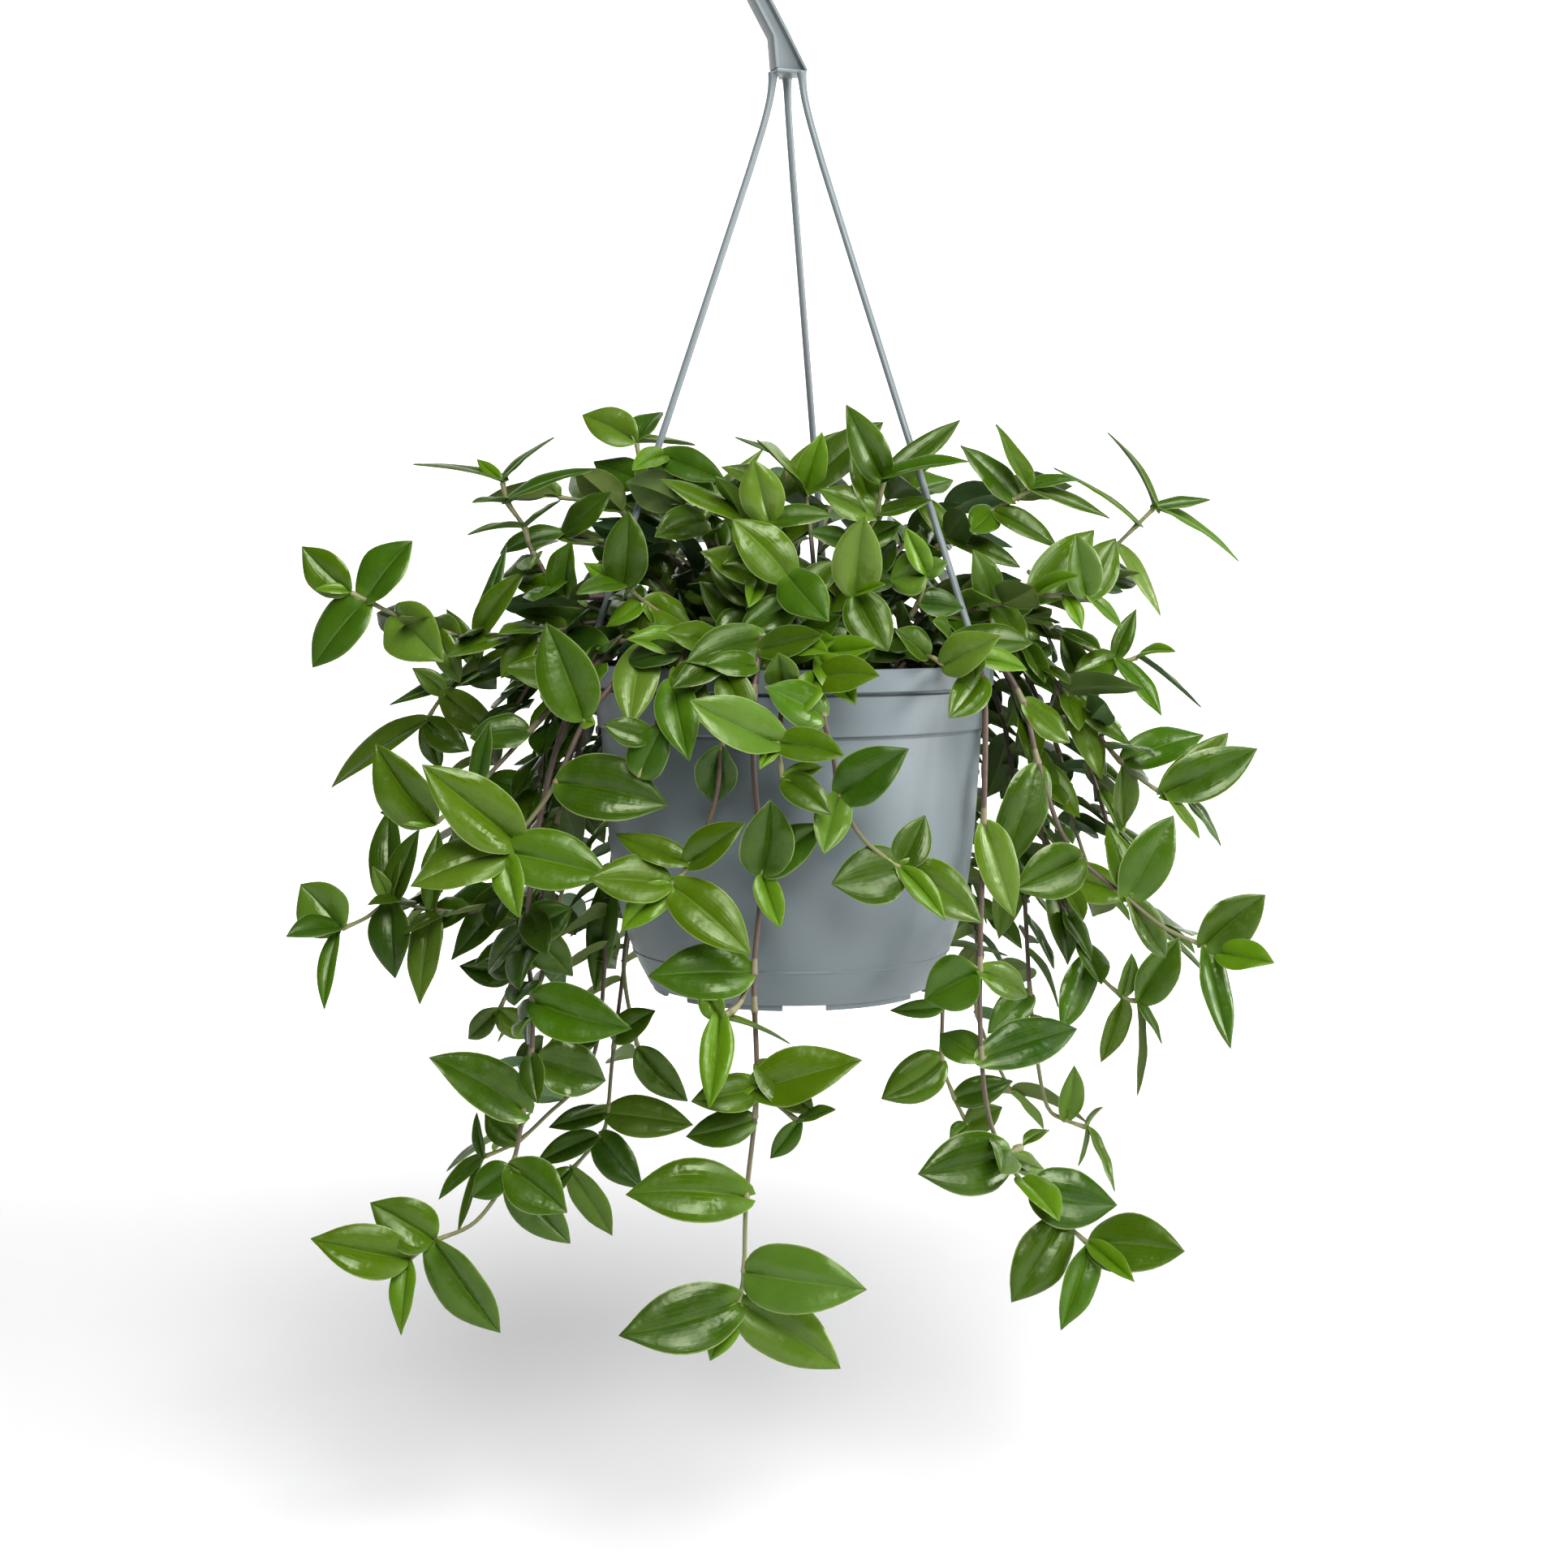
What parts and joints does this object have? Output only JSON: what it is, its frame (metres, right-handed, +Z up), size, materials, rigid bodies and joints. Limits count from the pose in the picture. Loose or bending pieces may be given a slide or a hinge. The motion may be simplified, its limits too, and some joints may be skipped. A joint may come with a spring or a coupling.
{
  "type": "potted trailing tradescantia",
  "caption": "Trailing green tradescantia in a moulded plastic hanging pot, with soil, leafy stems over the rim and a moulded hook hanger clipped to it.",
  "frame": {"origin": "the seat in the top of the hook's crook, on the pot's axis, where a rail carries the hanger", "axes": "+Z up along the pot's axis, -Y towards the viewer of the picture, +X to its right"},
  "size_m": [0.3577, 0.2657, 0.5252],
  "materials": {
    "pot_plastic": "moulded blue-grey plastic, satin",
    "hanger_plastic": "moulded pale blue-grey plastic, low gloss",
    "soil": "moist crumbs of peat and bark",
    "foliage": "waxy green leaves on brown-green stems"
  },
  "bodies": {
    "root": {"pot": "pot_plastic", "soil": "soil", "hanger": "hanger_plastic", "stem_front_long": "foliage", "stem_front_middle": "foliage", "stem_front_left_low": "foliage", "stem_front_left_short": "foliage", "stem_left_brown": "foliage", "stem_left_front": "foliage", "stem_left_arm": "foliage", "stem_left_high": "foliage", "stem_left_crown": "foliage", "stem_left_bright": "foliage", "stem_left_top": "foliage", "stem_crown_left": "foliage", "stem_crown_front_left": "foliage", "stem_crown_front": "foliage", "stem_crown_front_right": "foliage", "stem_crown_middle": "foliage", "stem_crown_back": "foliage", "stem_right_inner": "foliage", "stem_right_rim": "foliage", "stem_front_right": "foliage", "stem_right_brown": "foliage", "stem_right_arm": "foliage", "stem_right_mid": "foliage", "stem_right_high": "foliage", "stem_right_top": "foliage", "stem_right_bright": "foliage", "stem_right_low": "foliage", "stem_right_hanging": "foliage", "stem_right_tail": "foliage", "stem_right_behind": "foliage", "stem_left_middle": "foliage", "stem_left_low": "foliage", "stem_left_tail": "foliage", "stem_left_back_low": "foliage", "stem_left_side": "foliage", "stem_left_far": "foliage", "stem_back_hanging_1": "foliage", "stem_back_hanging_2": "foliage", "stem_back_hanging_3": "foliage", "stem_back_hanging_4": "foliage", "stem_back_hanging_5": "foliage", "stem_back_hanging_6": "foliage", "stem_back_hanging_7": "foliage", "stem_back_hanging_8": "foliage", "stem_back_hanging_9": "foliage", "stem_back_hanging_10": "foliage", "stem_rising_1": "foliage", "stem_rising_2": "foliage", "stem_rising_3": "foliage", "stem_rising_4": "foliage", "stem_rising_5": "foliage", "stem_rising_6": "foliage", "stem_rising_7": "foliage", "stem_rising_8": "foliage", "stem_rising_9": "foliage", "stem_rising_10": "foliage", "stem_rising_11": "foliage"}
  },
  "joints": []
}
